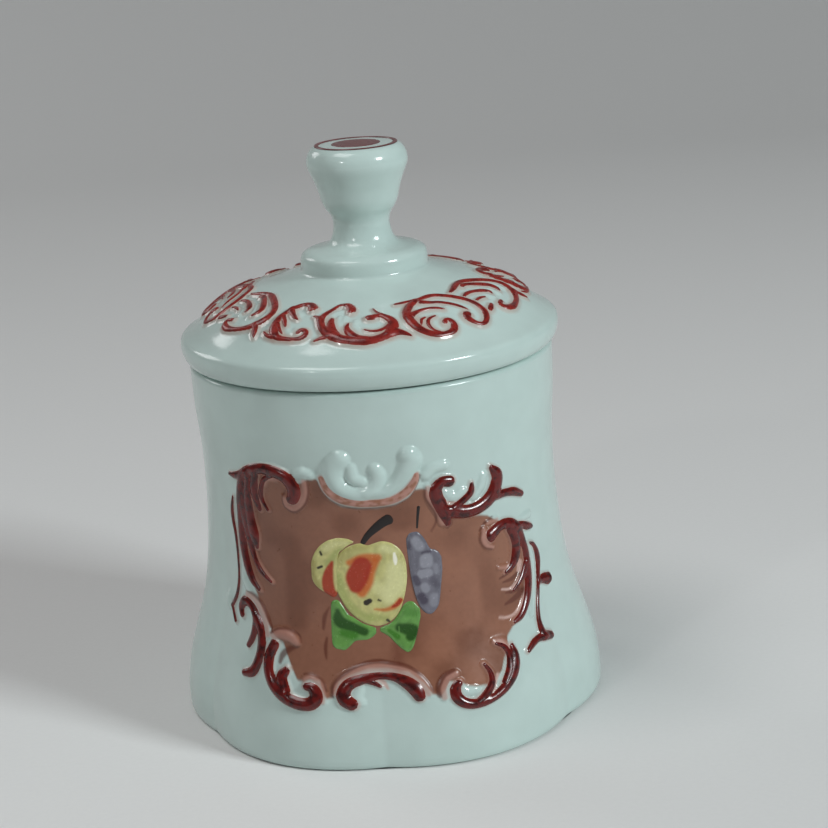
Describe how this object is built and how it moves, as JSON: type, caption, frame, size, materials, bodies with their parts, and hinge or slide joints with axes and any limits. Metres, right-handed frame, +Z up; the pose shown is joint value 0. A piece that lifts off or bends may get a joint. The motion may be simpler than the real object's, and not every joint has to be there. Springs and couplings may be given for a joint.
{
  "type": "cosmetic cream jar",
  "caption": "Lidded cream jar in white glass: waisted, lobed body flaring to the foot, domed lid with a tall knob, raised scrolls and painted fruit.",
  "frame": {"origin": "centre of the jar's footprint, on the surface it stands on", "axes": "+Z up along the jar's axis, -Y out of the painted front, +X to the right of someone facing the front"},
  "size_m": [0.0996, 0.0971, 0.1334],
  "materials": {
    "milk_glass": "pressed opaque white glass, fire polished",
    "enamel_red": "fired dark red enamel, gloss",
    "enamel_lid_red": "fired rust red enamel, thin and worn",
    "enamel_ground": "thin brown enamel wash, satin",
    "enamel_rose": "thin rose enamel wash, satin",
    "enamel_fruit": "fired yellow-green enamel, gloss",
    "enamel_leaf": "fired green enamel, gloss",
    "enamel_grape": "fired grey violet enamel, satin",
    "enamel_black": "fired black brown enamel, gloss"
  },
  "bodies": {
    "jar": {"jar_body": "milk_glass", "panel_ground": "enamel_ground", "scroll_top_left": "enamel_red", "hairline_left": "enamel_red", "scroll_left": "enamel_red", "scroll_bottom_left": "enamel_red", "scroll_bottom_centre": "enamel_red", "scroll_bottom_right": "enamel_red", "scroll_right": "enamel_red", "line_right": "enamel_red", "scroll_top_right": "enamel_red", "shell_crest": "milk_glass", "shell_band": "enamel_rose", "fruit_left": "enamel_fruit", "fruit_front": "enamel_fruit", "fruit_stem": "enamel_black", "grapes": "enamel_grape", "grape_stem": "enamel_black", "leaf_left": "enamel_leaf", "leaf_right": "enamel_leaf"},
    "lid": {"lid": "milk_glass", "lid_scroll_a1": "enamel_lid_red", "lid_scroll_b1": "enamel_lid_red", "lid_scroll_c1": "enamel_lid_red", "lid_scroll_d1": "enamel_lid_red", "lid_scroll_a2": "enamel_lid_red", "lid_scroll_b2": "enamel_lid_red", "lid_scroll_c2": "enamel_lid_red", "lid_scroll_d2": "enamel_lid_red", "lid_scroll_a3": "enamel_lid_red", "lid_scroll_b3": "enamel_lid_red", "lid_scroll_c3": "enamel_lid_red", "lid_scroll_d3": "enamel_lid_red", "knob_ring": "enamel_red", "knob_disc": "enamel_red"}
  },
  "joints": [
    {"name": "lid_lift", "type": "slide", "parent": "jar", "child": "lid", "axis": [0, 0, 1], "range_m": [0, 0.06]}
  ]
}
